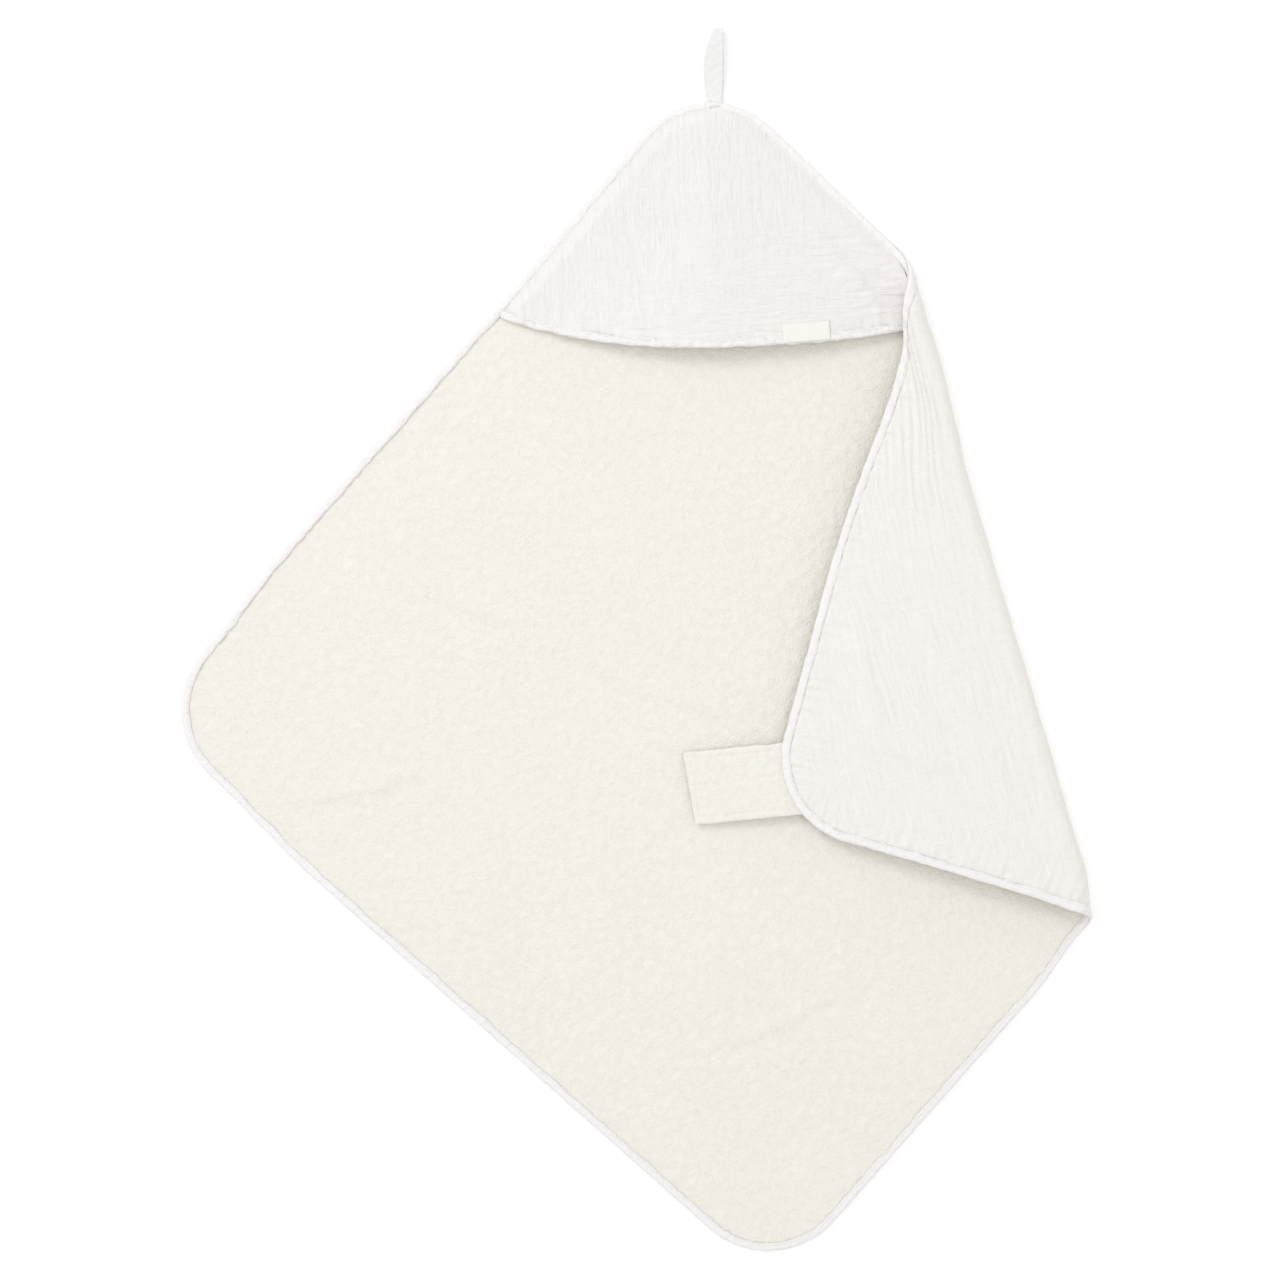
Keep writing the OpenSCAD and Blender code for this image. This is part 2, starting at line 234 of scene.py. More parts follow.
def terry_finish(name, light, shade):
    """Looped pile: clumps of loops a few millimetres across, with shade painted between them.
    """
    finish, tree, shader = new_finish(name)
    place = add_node(tree, "Attribute", attribute_name="cloth").outputs["Vector"]
    clumps = add_node(tree, "TexNoise", {
        "Vector": place, "Scale": 135, "Detail": 5, "Roughness": 0.68, "Distortion": 0.7})
    loops = add_node(tree, "TexVoronoi", {"Vector": place, "Scale": 520, "Randomness": 1},
                     feature="SMOOTH_F1")
    broad = add_node(tree, "TexNoise", {"Vector": place, "Scale": 11, "Detail": 3})
    pile = add_node(tree, "Math", {0: clumps.outputs["Fac"], 1: 0.75}, operation="MULTIPLY")
    loop = add_node(tree, "Math", {0: loops.outputs["Distance"], 1: -0.5},
                    operation="MULTIPLY")
    height = add_node(tree, "Math", {0: pile.outputs[0], 1: loop.outputs[0]}, operation="ADD")
    # Painted shade: the ramp goes from the shade colour to the light one as the clumps rise.
    tone = add_node(tree, "ValToRGB", {"Fac": clumps.outputs["Fac"]})
    tone.color_ramp.elements[0].position = 0.34
    tone.color_ramp.elements[0].color = (*shade, 1)
    tone.color_ramp.elements[1].position = 0.62
    tone.color_ramp.elements[1].color = (*light, 1)
    warm = add_node(tree, "Mix", {
        "Factor": broad.outputs["Fac"], "A": (1, 1, 1, 1), "B": (0.975, 0.965, 0.945, 1)},
        data_type="RGBA")
    mixed = add_node(tree, "Mix", {
        "Factor": 1, "A": tone.outputs["Color"], "B": warm.outputs[2]},
        data_type="RGBA", blend_type="MULTIPLY")
    bump = add_node(tree, "Bump", {
        "Strength": 0.55, "Distance": 0.0022, "Height": height.outputs[0]})
    tree.links.new(mixed.outputs[2], shader.inputs["Base Color"])
    tree.links.new(bump.outputs["Normal"], shader.inputs["Normal"])
    shader.inputs["Roughness"].default_value = 0.95
    shader.inputs["Specular IOR Level"].default_value = 0.15
    shader.inputs["Sheen Weight"].default_value = 0.12
    shader.inputs["Sheen Roughness"].default_value = 0.6
    return finish


def rumple(x, y):
    """Low soft creases left in the terry by how it was folded away."""
    lift = 0.0007 * noise.noise(Vector((x * 11, y * 11, 5)))
    for start, end, high in (((-0.29, 0.115), (-0.19, 0.060), 0.0016),
                             ((-0.16, 0.045), (-0.02, -0.030), 0.0014),
                             ((-0.43, -0.080), (-0.30, -0.070), 0.0013),
                             ((-0.05, -0.335), (0.07, -0.300), 0.0010),
                             ((-0.02, 0.190), (0.07, 0.120), 0.0009)):
        a, b = Vector(start), Vector(end)
        run = (Vector((x, y)) - a).dot((b - a).normalized()) / (b - a).length
        off = Vector((x, y)) - a - (b - a) * run
        aside = math.copysign(off.length, off.y) + 0.006 * math.sin(run * 4)
        reach = smooth((run + 0.15) / 0.4) * smooth((1.15 - run) / 0.4)
        lift += high * reach * (math.exp(-(aside / 0.007) ** 2)
                                - 0.7 * math.exp(-((aside + 0.013) / 0.009) ** 2))
    return lift


# The second colour is painted shade for the hollows between the clumps of loops.
terry = terry_finish("terry", (0.880, 0.857, 0.800), (0.842, 0.812, 0.742))
terry_bm = bmesh.new()
bmesh.ops.create_grid(terry_bm, x_segments=310, y_segments=310, size=cloth_half)
cloth = terry_bm.verts.layers.float_vector.new("cloth")
for vert in terry_bm.verts:
    x, y = round_corner(vert.co.x, vert.co.y, cloth_half, cloth_r)
    vert[cloth] = (x, y, 0)
    inside = smooth((inset_of(x, y) - 0.007) / 0.004)
    pile = 0.0007 * noise.noise(Vector((x * 210, y * 210, 0)))
    pile += 0.0005 * noise.noise(Vector((x * 95, y * 95, 7)))
    height = sheet_t - 0.0004 + inside * (pile - 0.0003 + rumple(x, y))
    vert.co = lay_folded(x, y, min(pile_limit, height))
terry_cloth = new_piece("terry_cloth", terry_bm, terry)
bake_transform(terry_cloth)
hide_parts("terry_face", "corner_terry")

# ---- Muslin back --------------------------------------------------------------------
# Crinkled cotton gauze behind the terry. It shows on the folded corner, where its crinkles
# run with the crease and its edges pucker along the stitched tape. Its columns and rows are
# closest together under the folded corner.
gauze_light = (0.880, 0.858, 0.826)
gauze_shade = (0.846, 0.820, 0.783)


def muslin_finish(name, light, shade, crinkle):
    """Gauze: fine crossed threads, and long shallow crinkles with shade between them."""
    finish, tree, shader = new_finish(name)
    place = add_node(tree, "Attribute", attribute_name="cloth").outputs["Vector"]
    parts = add_node(tree, "SeparateXYZ", {"Vector": place})
    flat = add_node(tree, "CombineXYZ", {"X": parts.outputs["X"], "Y": parts.outputs["Y"]})
    creases = []
    for stretch, size in (((1, 0.10, 1), 275), ((0.13, 1, 1), 235)):
        drawn = add_node(tree, "Mapping", {"Vector": flat.outputs[0], "Scale": stretch})
        folds = add_node(tree, "TexNoise", {
            "Vector": drawn.outputs["Vector"], "Scale": size, "Detail": 2.5,
            "Roughness": 0.6, "Distortion": 0.5})
        level = add_node(tree, "Math", {0: folds.outputs["Fac"], 1: 0.5},
                         operation="SUBTRACT")
        ridge = add_node(tree, "Math", {0: level.outputs[0]}, operation="ABSOLUTE")
        creases.append(add_node(tree, "Math", {0: ridge.outputs[0], 1: 3.2},
                                operation="MULTIPLY"))
    warp = add_node(tree, "TexWave", {"Vector": place, "Scale": 420, "Distortion": 1.5,
                                      "Detail": 1}, bands_direction="X")
    weft = add_node(tree, "TexWave", {"Vector": place, "Scale": 420, "Distortion": 1.5,
                                      "Detail": 1}, bands_direction="Y")
    threads = add_node(tree, "Math", {0: warp.outputs["Fac"], 1: weft.outputs["Fac"]},
                       operation="ADD")
    both = add_node(tree, "Mix", {
        "Factor": parts.outputs["Z"], "A": creases[0].outputs[0],
        "B": creases[1].outputs[0]})
    tone = add_node(tree, "ValToRGB", {"Fac": both.outputs[0]})
    tone.color_ramp.elements[0].position = 0.0
    tone.color_ramp.elements[0].color = (*shade, 1)
    tone.color_ramp.elements[1].position = 0.22
    tone.color_ramp.elements[1].color = (*light, 1)
    coarse = add_node(tree, "Bump", {
        "Strength": crinkle, "Distance": 0.0016, "Height": both.outputs[0]})
    fine = add_node(tree, "Bump", {
        "Strength": 0.25, "Distance": 0.0002, "Height": threads.outputs[0],
        "Normal": coarse.outputs["Normal"]})
    tree.links.new(tone.outputs["Color"], shader.inputs["Base Color"])
    tree.links.new(fine.outputs["Normal"], shader.inputs["Normal"])
    shader.inputs["Roughness"].default_value = 0.85
    shader.inputs["Specular IOR Level"].default_value = 0.2
    shader.inputs["Sheen Weight"].default_value = 0.08
    shader.inputs["Sheen Roughness"].default_value = 0.5
    return finish


muslin = muslin_finish("muslin", gauze_light, gauze_shade, 0.42)
columns, coarse_columns = 261, 45
rows, fine_rows = 366, 341
muslin_bm = bmesh.new()
bmesh.ops.create_grid(muslin_bm, x_segments=columns, y_segments=rows, size=1)
bmesh.ops.reverse_faces(muslin_bm, faces=muslin_bm.faces)
cloth = muslin_bm.verts.layers.float_vector.new("cloth")
for vert in muslin_bm.verts:
    column, row = (vert.co.x + 1) / 2 * columns, (vert.co.y + 1) / 2 * rows
    if column < coarse_columns:
        flat_x = -cloth_half + column * 0.445 / coarse_columns
    else:
        flat_x = 0.05 + (column - coarse_columns) * 0.345 / (columns - coarse_columns)
    if row < fine_rows:
        flat_y = -cloth_half + row * 0.545 / fine_rows
    else:
        flat_y = 0.15 + (row - fine_rows) * 0.245 / (rows - fine_rows)
    x, y = round_corner(flat_x, flat_y, cloth_half, cloth_r)
    beyond, along = from_crease(x, y)
    vert[cloth] = (beyond, along, 0.36 + 0.4 * smooth(1 - inset_of(x, y) / 0.03))
    inside = smooth((inset_of(x, y) - 0.0075) / 0.003)
    bent = along + 0.012 * noise.noise(Vector((beyond * 22, along * 22, 3)))
    lean = beyond + 0.004 * noise.noise(Vector((beyond * 30, along * 18, 9)))
    crinkle = 0.5 - abs(noise.noise(Vector((lean * 130, bent * 17, 0))))
    crinkle += 0.5 * noise.noise(Vector((lean * 260, bent * 34, 5)))
    puckers = 0
    for past, run in ((side / 2 - flat_x, flat_y), (side / 2 + flat_y, flat_x)):
        puckers += math.exp(-max(0, past - 0.008) / 0.016) * noise.noise(
            Vector((run * 165, past * 28, 2)))
    out = 0.0011 * crinkle + 0.0024 * puckers
    out += 0.0009 * noise.noise(Vector((beyond * 26, along * 15, 11)))
    if beyond < -roll_len:
        out = min(out, 0.0002) * 0.3
    vert.co = lay_folded(x, y, 0.0012 - inside * (0.0009 + out))
muslin_cloth = new_piece("muslin_cloth", muslin_bm, muslin)
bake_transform(muslin_cloth)
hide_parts("muslin_back", "corner_muslin")

# ---- Edge tape ----------------------------------------------------------------------
# Bias tape of plain cotton folded over the edge of both cloths all round, and puckered a
# little by its stitching.
quarter_len = side - 2 * corner_r + corner_r * math.pi / 2
tape_len = 4 * quarter_len
ring_r = 0.487


def edge_at(share):
    """Place on the towel's edge at a share of the way round, and the way out of it."""
    quarter, part = divmod(share % 1 * 4, 1)
    run = part * quarter_len
    bend = corner_r * math.pi / 4
    if run < bend:
        turn = run / corner_r
        spot = Vector((arc_centre, 0)) + corner_r * Vector((math.cos(turn), math.sin(turn)))
    elif run < quarter_len - bend:
        turn = math.pi / 4
        slant = Vector((math.cos(turn), math.sin(turn)))
        spot = Vector((arc_centre, 0)) + corner_r * slant
        spot += (run - bend) * Vector((-slant.y, slant.x))
    else:
        turn = math.pi / 2 - (quarter_len - run) / corner_r
        spot = Vector((0, arc_centre)) + corner_r * Vector((math.cos(turn), math.sin(turn)))
    spun = Matrix.Rotation(quarter * math.pi / 2, 2)
    return spun @ spot, spun @ Vector((math.cos(turn), math.sin(turn)))


def tape_finish(name, colour, shade):
    """Plain cotton tape: close fine ribs across it, and soft puckers with painted shade."""
    finish, tree, shader = new_finish(name)
    place = add_node(tree, "Attribute", attribute_name="cloth").outputs["Vector"]
    ribs = add_node(tree, "TexWave", {"Vector": place, "Scale": 330, "Distortion": 0.8},
                    bands_direction="DIAGONAL")
    puckers = add_node(tree, "TexNoise", {"Vector": place, "Scale": 210, "Detail": 2})
    # Painted shade: the colour darkens with the same noise that raises the puckers.
    tone = add_node(tree, "Mix", {
        "Factor": puckers.outputs["Fac"], "A": (*colour, 1), "B": (*shade, 1)},
        data_type="RGBA")
    soft = add_node(tree, "Bump", {
        "Strength": 0.8, "Distance": 0.0022, "Height": puckers.outputs["Fac"]})
    rib = add_node(tree, "Bump", {
        "Strength": 0.3, "Distance": 0.0002, "Height": ribs.outputs["Fac"],
        "Normal": soft.outputs["Normal"]})
    tree.links.new(tone.outputs[2], shader.inputs["Base Color"])
    tree.links.new(rib.outputs["Normal"], shader.inputs["Normal"])
    shader.inputs["Roughness"].default_value = 0.8
    shader.inputs["Specular IOR Level"].default_value = 0.25
    return finish


# The second colour is painted shade for the puckers.
binding = tape_finish("binding", (0.915, 0.893, 0.888), (0.862, 0.838, 0.825))
tape_bm = bmesh.new()
bmesh.ops.create_circle(tape_bm, segments=1400, radius=1)
cloth = tape_bm.verts.layers.float_vector.new("cloth")
ring_edges = list(tape_bm.edges)
ring_verts = list(tape_bm.verts)
tape_section = ((8.0, 0.7), (7.6, 0.15), (6.0, 0.3), (3.6, 0.0), (1.3, 0.2), (0.3, 1.2),
                (0.0, 3.0), (0.3, 4.9), (1.3, 6.0), (3.6, 6.3), (6.0, 6.0), (7.6, 6.2),
                (8.0, 5.4))
for step, (inset, height) in enumerate(tape_section):
    if step:
        made = bmesh.ops.extrude_edge_only(tape_bm, edges=ring_edges)["geom"]
        ring_verts = [g for g in made if isinstance(g, bmesh.types.BMVert)]
        ring_edges = [g for g in made if isinstance(g, bmesh.types.BMEdge)]
    for vert in ring_verts:
        if step:
            share = vert[cloth].x / tape_len
        else:
            share = (math.atan2(vert.co.y, vert.co.x) / (2 * math.pi)) % 1
        spot, way = edge_at(share)
        run = share * 4 * quarter_len
        round_x, round_y = (ring_r * math.cos(share * 2 * math.pi),
                            ring_r * math.sin(share * 2 * math.pi))
        wobble = noise.noise(Vector((round_x * 130, round_y * 130, step * 0.35)))
        slack = noise.noise(Vector((round_x * 45, round_y * 45, 6)))
        drawn = inset / 1000 * (1 + 0.14 * slack) + 0.0007 * wobble
        spot = spot - way * drawn
        lift = 0.0005 * wobble
        vert[cloth] = (run, drawn + (0.02 if step > 6 else 0), 0)
        vert.co = (spot.x, spot.y, min(0.0065, max(0, height / 1000 + lift)))
for vert in tape_bm.verts:
    turn = vert[cloth].x / tape_len * 2 * math.pi
    vert[cloth] = (ring_r * math.cos(turn), ring_r * math.sin(turn), vert[cloth].y)
    vert.co = lay_folded(vert.co.x, vert.co.y, vert.co.z)
bmesh.ops.recalc_face_normals(tape_bm, faces=tape_bm.faces)
edge_tape = new_piece("edge_tape", tape_bm, binding)
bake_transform(edge_tape)
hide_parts("edge_binding", "corner_binding")

# ---- Edge stitching -----------------------------------------------------------------
# A row of lockstitch along the inner edge of the tape, seen on the terry and on the muslin.
thread, thread_tree, thread_shader = new_finish("thread")
twist = add_node(thread_tree, "TexWave", {
    "Vector": add_node(thread_tree, "TexCoord").outputs["Object"], "Scale": 1500,
    "Distortion": 2}, bands_direction="DIAGONAL")
twist_tone = add_node(thread_tree, "Mix", {
    "Factor": twist.outputs["Fac"], "A": (0.93, 0.915, 0.90, 1), "B": (0.86, 0.84, 0.81, 1)},
    data_type="RGBA")
twist_bump = add_node(thread_tree, "Bump", {
    "Strength": 0.4, "Distance": 0.0001, "Height": twist.outputs["Fac"]})
thread_tree.links.new(twist_tone.outputs[2], thread_shader.inputs["Base Color"])
thread_tree.links.new(twist_bump.outputs["Normal"], thread_shader.inputs["Normal"])
thread_shader.inputs["Roughness"].default_value = 0.7


stitch_w, stitch_h = 0.0008, 0.0006
stitch_form = bmesh.new()
bmesh.ops.create_uvsphere(stitch_form, u_segments=6, v_segments=4, radius=1)
one_stitch = bpy.data.meshes.new("one_stitch")
stitch_form.to_mesh(one_stitch)
stitch_form.free()


def sew(bm, spot, way, height, length=0.0024):
    """One stitch, lying along its way."""
    place = (Matrix.Translation((spot.x, spot.y, height))
             @ Matrix.Rotation(math.atan2(way.y, way.x), 4, "Z")
             @ Matrix.Diagonal((length / 2, stitch_w / 2, stitch_h / 2, 1)))
    one_stitch.transform(place)
    bm.from_mesh(one_stitch)
    one_stitch.transform(place.inverted())


stitch_bm = bmesh.new()
stitch_count = 940
for k in range(stitch_count):
    spot, way = edge_at((k + 0.5) / stitch_count)
    spot = spot - way * 0.0061
    for height in (0.0001, 0.0062):
        sew(stitch_bm, spot, Vector((-way.y, way.x)), height)
for vert in stitch_bm.verts:
    height = vert.co.z
    if from_crease(vert.co.x, vert.co.y)[0] < -roll_len:
        height = max(0.00003, height)
    vert.co = lay_folded(vert.co.x, vert.co.y, height)
edge_stitches = new_piece("edge_stitches", stitch_bm, thread)
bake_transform(edge_stitches)
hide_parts("binding_stitching", "corner_stitching")

# ---- Hood ---------------------------------------------------------------------------
# A triangle of the same gauze, lined with thin terry and caught in the tape along both
# sides. Its free hem stands a little open above the terry.
hem_low = half - 0.257
hood_inset = 0.0081
lining_t, gauze_t = 0.0022, 0.0012


def hem_y(x):
    """The hem's free edge."""
    return hem_low + 0.046 * (abs(x - 0.05) / 0.261) ** 2.5


def edge_y(x, inset):
    """The towel's upper edge, drawn in by an inset."""
    r = corner_r - inset
    if abs(x) < r / math.sqrt(2):
        return arc_centre + math.sqrt(r * r - x * x)
    return arc_centre + r * math.sqrt(2) - abs(x)


def hem_left(inset, add):
    """Where the hem comes within a distance of the left side."""
    x = -0.15
    for _ in range(30):
        x = -(half - inset * math.sqrt(2) - add - hem_y(x))
    return x


def hood_z(x, y):
    """The hood's underside."""
    top = half - hood_inset * math.sqrt(2)
    far = (top - hem_low) / math.sqrt(2)
    t = smooth((top - abs(x) - y) / math.sqrt(2) / far)
    return 0.0061 + 0.014 * t


def tuck(x, y):
    """How much the hood lifts where it runs into the roll."""
    return 64 * max(0, from_crease(x, y)[0] + roll_len + 0.0004) ** 2


def cut_at_roll(bm, beyond):
    """Trims away what lies past a line beside the crease."""
    spot = crease_low + crease_out * beyond
    bmesh.ops.bisect_plane(
        bm, geom=bm.verts[:] + bm.edges[:] + bm.faces[:], clear_outer=True,
        plane_co=(spot.x, spot.y, 0), plane_no=(crease_out.x, crease_out.y, 0))


hood_left = hem_left(hood_inset, 0.003)
hood_right = crease_top.x + 0.012
hood_gauze = muslin_finish("hood_muslin", (0.856, 0.825, 0.806), (0.824, 0.792, 0.770), 0.5)
hood_bm = bmesh.new()
bmesh.ops.create_grid(hood_bm, x_segments=270, y_segments=160, size=1)
cloth = hood_bm.verts.layers.float_vector.new("cloth")
for vert in hood_bm.verts:
    x = hood_left + (hood_right - hood_left) * (vert.co.x + 1) / 2
    low, high = hem_y(x) + 0.0015, max(hem_y(x) + 0.002, edge_y(x, 0.0065))
    y = low + (high - low) * (vert.co.y + 1) / 2
    sewn = smooth((inset_of(x, y) - 0.0068) / 0.013)
    level = smooth((0.44 - y + 0.45 * x) / 0.13)
    vert[cloth] = (x, y, 0.22 + 0.58 * level)
    lean = x + 0.005 * noise.noise(Vector((x * 25, y * 25, 1)))
    drop = y + 0.005 * noise.noise(Vector((x * 25, y * 25, 8)))
    streaks = 0.4 - abs(noise.noise(Vector((lean * 110, drop * 16, 0))))
    rows = 0.4 - abs(noise.noise(Vector((lean * 30, drop * 120, 6))))
    crinkle = streaks * (0.6 - 0.5 * level) + rows * 1.1 * level
    crinkle += 0.3 * noise.noise(Vector((x * 230, y * 150, 3)))
    swell = 0.0022 * noise.noise(Vector((x * 14, y * 14, 2.5)))
    slant = (y - 0.345) - 1.15 * (0.150 - x)
    swell += 0.0030 * math.exp(-(slant / 0.012) ** 2) * smooth((0.16 - x) / 0.03) * smooth(
        (x - 0.07) / 0.04)
    gather = math.exp(-(y - hem_y(x) - 0.008) / 0.012) * noise.noise(
        Vector((x * 130, y * 26, 9)))
    top = hood_z(x, y) + tuck(x, y) + lining_t + gauze_t
    spot = Vector((x, y)) + settle(x, y)
    vert.co = (*spot, 0.0059 + sewn * (
        top + 0.0013 * crinkle + swell + 0.0016 * gather - 0.0059))
cut_at_roll(hood_bm, -0.0105)
hood_cloth = new_piece("hood_cloth", hood_bm, hood_gauze)
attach(hood_cloth, "towel")
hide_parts("hood_muslin")

lining_bm = bmesh.new()
bmesh.ops.create_grid(lining_bm, x_segments=150, y_segments=80, size=1)
bmesh.ops.reverse_faces(lining_bm, faces=lining_bm.faces)
cloth = lining_bm.verts.layers.float_vector.new("cloth")
for vert in lining_bm.verts:
    x = hood_left + (hood_right - hood_left) * (vert.co.x + 1) / 2
    low, high = hem_y(x) + 0.0015, max(hem_y(x) + 0.002, edge_y(x, 0.0072))
    y = low + (high - low) * (vert.co.y + 1) / 2
    vert[cloth] = (x, y, 0)
    sewn = smooth((inset_of(x, y) - 0.0074) / 0.01)
    pile = 0.0003 * noise.noise(Vector((x * 210, y * 210, 0)))
    spot = Vector((x, y)) + settle(x, y)
    vert.co = (*spot, 0.0058 + sewn * (hood_z(x, y) + tuck(x, y) + 0.0003 + pile - 0.0058))
cut_at_roll(lining_bm, -0.0112)
hood_terry = new_piece("hood_terry", lining_bm, terry)
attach(hood_terry, "towel")
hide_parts("hood_lining")

# ---- Hem tape -----------------------------------------------------------------------
# The same bias tape folded over the hood's free edge, with one row of stitching.
hem_bm = bmesh.new()
hem_start = hem_left(hood_inset, 0.004)
hem_section = ((8.0, -0.2), (7.6, -0.8), (5.8, -0.7), (3.0, -0.9), (1.0, -0.7), (0.2, 0.4),
               (0.0, 1.7), (0.2, 3.1), (1.0, 4.1), (3.0, 4.4), (5.8, 4.1), (7.6, 4.3),
               (8.0, 3.5))
bmesh.ops.create_grid(hem_bm, x_segments=260, y_segments=len(hem_section) - 1, size=1)
cloth = hem_bm.verts.layers.float_vector.new("cloth")
for vert in hem_bm.verts:
    x = hem_start + (hood_right - hem_start) * (vert.co.x + 1) / 2
    step = round((vert.co.y + 1) / 2 * (len(hem_section) - 1))
    inset, height = hem_section[step]
    wobble = noise.noise(Vector((x * 140, step * 0.35, 3)))
    y = hem_y(x) + inset / 1000 * (1 + 0.12 * wobble)
    y += 0.0009 * noise.noise(Vector((x * 80, 0, 4)))
    vert[cloth] = (x, inset / 1000 + step * 0.002, 0)
    pinch = smooth((inset_of(x, hem_y(x)) - 0.007) / 0.014)
    z = hood_z(x, y) + tuck(x, y) + height / 1000 * (0.35 + 0.65 * pinch)
    z += 0.0010 * wobble + 0.0005 * noise.noise(Vector((x * 260, step * 0.2, 8)))
    vert.co = (*(Vector((x, y)) + settle(x, y)), z)
cut_at_roll(hem_bm, -0.0105)
bmesh.ops.recalc_face_normals(hem_bm, faces=hem_bm.faces)
hem_tape = new_piece("hem_tape", hem_bm, binding)
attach(hem_tape, "towel")
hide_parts("hem_binding")

hem_stitch_bm = bmesh.new()
x = hem_start + 0.004
while from_crease(x, hem_y(x))[0] < -roll_len:
    slope = (hem_y(x + 0.001) - hem_y(x - 0.001)) / 0.002
    way = Vector((1, slope)).normalized()
    y = hem_y(x) + 0.006
    if not 0.059 < x < 0.105:
        sew(hem_stitch_bm, Vector((x, y)), way, hood_z(x, y) + 0.0043)
    x += 0.0032 * way.x
hem_stitches = new_piece("hem_stitches", hem_stitch_bm, thread)
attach(hem_stitches, "towel")
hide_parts("hem_stitching")

# ---- Hem label ----------------------------------------------------------------------
# A small blank satin label with folded ends, sewn flat over the hem.
label_x, label_w, label_h = 0.082, 0.044, 0.018
satin, satin_tree, satin_shader = new_finish("satin")
satin_place = add_node(satin_tree, "Attribute", attribute_name="cloth").outputs["Vector"]
satin_warp = add_node(satin_tree, "TexWave", {"Vector": satin_place, "Scale": 900,
                                              "Distortion": 0.5}, bands_direction="Y")
satin_tone = add_node(satin_tree, "Mix", {
    "Factor": satin_warp.outputs["Fac"], "A": (0.89, 0.87, 0.82, 1),
    "B": (0.86, 0.84, 0.785, 1)}, data_type="RGBA")
satin_bump = add_node(satin_tree, "Bump", {
    "Strength": 0.3, "Distance": 0.0001, "Height": satin_warp.outputs["Fac"]})
satin_tree.links.new(satin_tone.outputs[2], satin_shader.inputs["Base Color"])
satin_tree.links.new(satin_bump.outputs["Normal"], satin_shader.inputs["Normal"])
satin_shader.inputs["Roughness"].default_value = 0.5
label_bm = bmesh.new()
bmesh.ops.create_grid(label_bm, x_segments=36, y_segments=14, size=1)
cloth = label_bm.verts.layers.float_vector.new("cloth")
for vert in label_bm.verts:
    a, b = vert.co.x, vert.co.y
    x = label_x + label_w / 2 * a
    y = hem_y(x) + 0.0012 + label_h * (b + 1) / 2
    vert[cloth] = (x, y, 0)
    top = hood_z(x, y) + 0.0045 + 0.0004 * (1 - b ** 6) * (1 - a ** 8)
    vert.co = (x, y, top + 0.0002 * noise.noise(Vector((x * 90, y * 90, 4))))
bmesh.ops.solidify(label_bm, geom=label_bm.faces[:], thickness=-0.0006)
bmesh.ops.recalc_face_normals(label_bm, faces=label_bm.faces)
blank_label = new_piece("blank_label", label_bm, satin)
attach(blank_label, "towel")
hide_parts("hem_label")

# ---- Hanging loop -------------------------------------------------------------------
# A doubled cotton tape sewn into the tip. It lies flat on the table with its bend a little
# open.
loop_w, loop_t = 0.0125, 0.0011
loop_start, loop_far = 0.5360, 0.6030
eye_r = 0.0046
# The second colour is painted shade for the puckers.
loop_twill = tape_finish("loop_tape", (0.86, 0.86, 0.85), (0.80, 0.80, 0.79))
loop_bm = bmesh.new()
bmesh.ops.create_grid(loop_bm, x_segments=96, y_segments=10, size=1)
cloth = loop_bm.verts.layers.float_vector.new("cloth")
leg = loop_far - loop_start
around = math.pi * (eye_r + loop_t / 2)
for vert in loop_bm.verts:
    run = (vert.co.x + 1) / 2 * (2 * leg + around)
    across = vert.co.y * loop_w / 2
    side_of = -1 if run < leg + around / 2 else 1
    if run < leg or run > leg + around:
        y = loop_start + (run if run < leg else 2 * leg + around - run)
        open_at = smooth((y - loop_start - 0.008) / (leg - 0.008))
        z = 0.003 + 0.0027 * open_at
        z += side_of * (loop_t / 2 + 0.00015 + (eye_r - 0.0001) * open_at)
    else:
        turn = (run - leg) / around * math.pi
        y = loop_far + (eye_r + loop_t / 2) * math.sin(turn)
        z = 0.0057 - (eye_r + loop_t / 2) * math.cos(turn)
    t = min(1, max(0, (y - loop_start) / 0.0725))
    right = 0.0065 + 0.0016 * smooth(t / 0.3) + 0.0045 * t
    left = -0.0062 - 0.0022 * math.sin(math.pi * min(1, t / 0.8))
    left += 0.0105 * max(0, (t - 0.5) / 0.5) ** 2
    x = 0.0106 + (left + right) / 2 + vert.co.y * (right - left) / 2
    vert[cloth] = (across, run, 0)
    vert.co = (x, y, max(0.0006, z))
bmesh.ops.solidify(loop_bm, geom=loop_bm.faces[:], thickness=loop_t)
bmesh.ops.recalc_face_normals(loop_bm, faces=loop_bm.faces)
loop_tape = new_piece("loop_tape", loop_bm, loop_twill)
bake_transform(loop_tape)
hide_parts("hanging_loop", "loop_root")

tack_bm = bmesh.new()
for k in range(11):
    for row in range(2):
        sew(tack_bm, Vector((0.0053 + 0.00104 * k, 0.5350 + 0.0009 * row)),
            Vector((0.5, 1)), 0.0064, 0.0022)
bar_tack = new_piece("bar_tack", tack_bm, thread)
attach(bar_tack, "towel")
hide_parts("loop_bartack")

# ---- Closing strap ------------------------------------------------------------------
# Two layers of terry turned and sewn into a wide strap. Its root is stitched inside the
# folded corner, and its free end lies out over the terry.
strap_w, strap_root_x, strap_end_x = 0.068, 0.064, 0.170
strap_shift, strap_turn = -0.013, math.radians(24)
strap_low, strap_t = 0.006, 0.0036


def on_strap(x, y, height):
    """Place of a point of the flat strap, whose X runs from the rounded corner's middle."""
    spot = Matrix.Rotation(strap_turn, 2) @ Vector((x, y + strap_shift))
    return lay_folded(spot.x + arc_centre, spot.y, height)
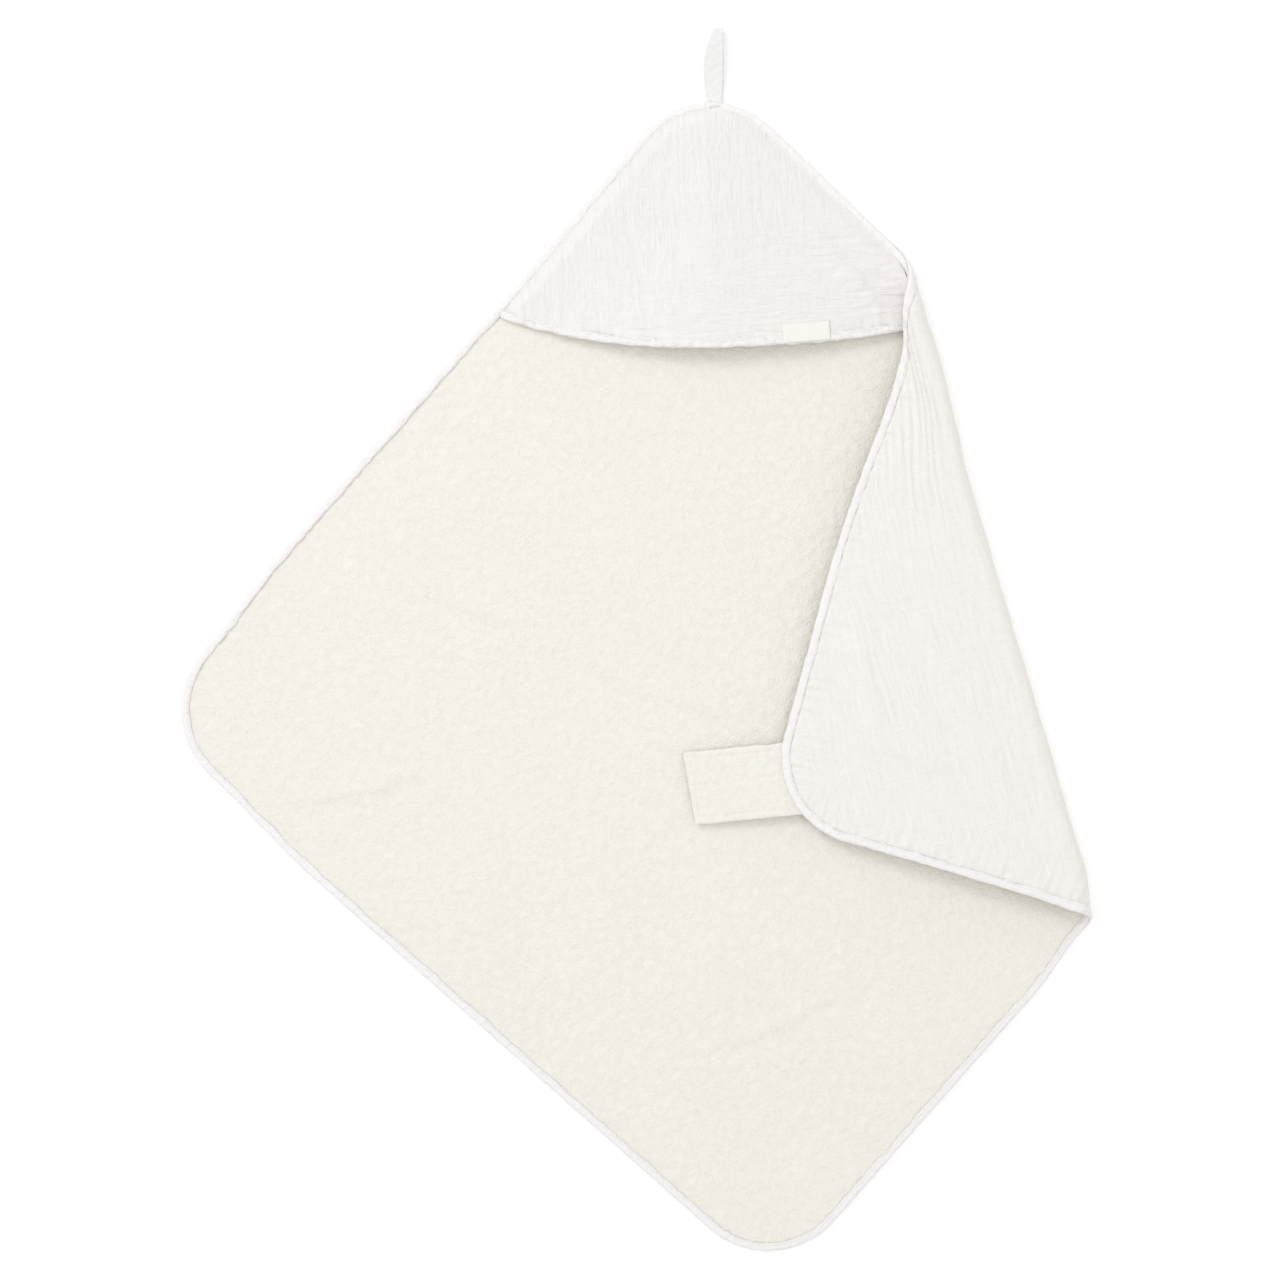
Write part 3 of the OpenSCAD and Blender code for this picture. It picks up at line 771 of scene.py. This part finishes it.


# The second colour is painted shade for the hollows between the clumps of loops.
strap_terry = terry_finish("strap_terry", (0.886, 0.865, 0.812), (0.846, 0.820, 0.757))
strap_bm = bmesh.new()
bmesh.ops.create_grid(strap_bm, x_segments=96, y_segments=62, size=1)
grown = bmesh.ops.extrude_face_region(strap_bm, geom=strap_bm.faces[:])["geom"]
bmesh.ops.translate(strap_bm, vec=(0, 0, 1),
                    verts=[g for g in grown if isinstance(g, bmesh.types.BMVert)])
cloth = strap_bm.verts.layers.float_vector.new("cloth")
for vert in strap_bm.verts:
    a, b = vert.co.x, vert.co.y
    a = math.copysign(1 - (1 - abs(a)) ** 1.25, a)
    b = math.copysign(1 - (1 - abs(b)) ** 1.25, b)
    length = strap_end_x - strap_root_x
    x = strap_root_x + length * (a + 1) / 2
    x += 0.0025 * b * smooth((x - 0.13) / 0.04)
    x += 0.0006 * smooth((x - 0.15) / 0.02) * noise.noise(Vector((b * 7, 0, 3)))
    y = strap_w / 2 * b * (1 + 0.025 * noise.noise(Vector((x * 70, 0, b))))
    rim = min((1 - abs(b)) * strap_w / 2, (1 - a) / 2 * length, (1 + a) / 2 * length)
    crown = math.sqrt(max(0, 1 - (1 - min(1, rim / 0.0034)) ** 2))
    seam = 0.24 * math.exp(-((rim - 0.0065) / 0.0012) ** 2)
    pile = 0.0005 * noise.noise(Vector((x * 190, y * 190, 2)))
    pile += 0.0006 * math.exp(-rim / 0.006) * noise.noise(Vector((x * 150, y * 150, 5)))
    thick = strap_t / 2 * (0.25 + 0.75 * crown - seam) + pile * crown
    mid = strap_low + strap_t / 2 + 0.0008 * smooth((x - 0.1) / 0.06)
    vert[cloth] = (x, y, 0)
    vert.co = on_strap(x, y, mid + (thick if vert.co.z > 0.5 else -thick))
bmesh.ops.recalc_face_normals(strap_bm, faces=strap_bm.faces)
strap_cloth = new_piece("strap_cloth", strap_bm, strap_terry)
on_strap(0.085, 0, 0.0078)
on_strap(0.091, 0, 0.0078)
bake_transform(strap_cloth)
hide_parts("strap_root", "closing_strap")

strap_sew_bm = bmesh.new()
for x in (0.0659, 0.0797):
    for k in range(19):
        sew(strap_sew_bm, Vector((x, -0.029 + 0.0032 * k)), Vector((0, 1)),
            strap_low + strap_t + 0.0001)
for vert in strap_sew_bm.verts:
    vert.co = on_strap(vert.co.x, vert.co.y, vert.co.z)
strap_stitches = new_piece("strap_stitches", strap_sew_bm, thread)
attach(strap_stitches, "folded_corner")
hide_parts("strap_stitching")

# ---- Hook patch ---------------------------------------------------------------------
# A patch of hook tape sewn under the strap's free end, which grips the terry.
hooks, hooks_tree, hooks_shader = new_finish("hook_tape")
hook_place = add_node(hooks_tree, "Attribute", attribute_name="cloth").outputs["Vector"]
hook_rows = add_node(hooks_tree, "TexVoronoi", {
    "Vector": hook_place, "Scale": 620, "Randomness": 0.25})
# Painted shade: the colour darkens towards the cell rims, the low ground between the hooks.
hook_tone = add_node(hooks_tree, "Mix", {
    "Factor": hook_rows.outputs["Distance"], "A": (0.86, 0.85, 0.82, 1),
    "B": (0.72, 0.71, 0.68, 1)}, data_type="RGBA")
hook_bump = add_node(hooks_tree, "Bump", {
    "Strength": 0.9, "Distance": 0.0012, "Height": hook_rows.outputs["Distance"]},
    invert=True)
hooks_tree.links.new(hook_tone.outputs[2], hooks_shader.inputs["Base Color"])
hooks_tree.links.new(hook_bump.outputs["Normal"], hooks_shader.inputs["Normal"])
hooks_shader.inputs["Roughness"].default_value = 0.45
patch_bm = bmesh.new()
bmesh.ops.create_grid(patch_bm, x_segments=24, y_segments=34, size=1)
grown = bmesh.ops.extrude_face_region(patch_bm, geom=patch_bm.faces[:])["geom"]
bmesh.ops.translate(patch_bm, vec=(0, 0, 1),
                    verts=[g for g in grown if isinstance(g, bmesh.types.BMVert)])
cloth = patch_bm.verts.layers.float_vector.new("cloth")
patch_x, patch_half_len, patch_half_w = 0.146, 0.018, 0.025
for vert in patch_bm.verts:
    a, b = vert.co.x, vert.co.y
    x, y = patch_x + patch_half_len * a, patch_half_w * b
    rim = min((1 - abs(b)) * patch_half_w, (1 - abs(a)) * patch_half_len)
    round_off = math.sqrt(max(0, 1 - (1 - min(1, rim / 0.0015)) ** 2))
    vert[cloth] = (x, y, 0)
    low = strap_low + strap_t + 0.0004
    vert.co = on_strap(x, y, low + (0.0005 + 0.0006 * round_off if vert.co.z > 0.5 else 0))
bmesh.ops.recalc_face_normals(patch_bm, faces=patch_bm.faces)
hook_tape = new_piece("hook_tape", patch_bm, hooks)
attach(hook_tape, "strap")
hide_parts("hook_patch")
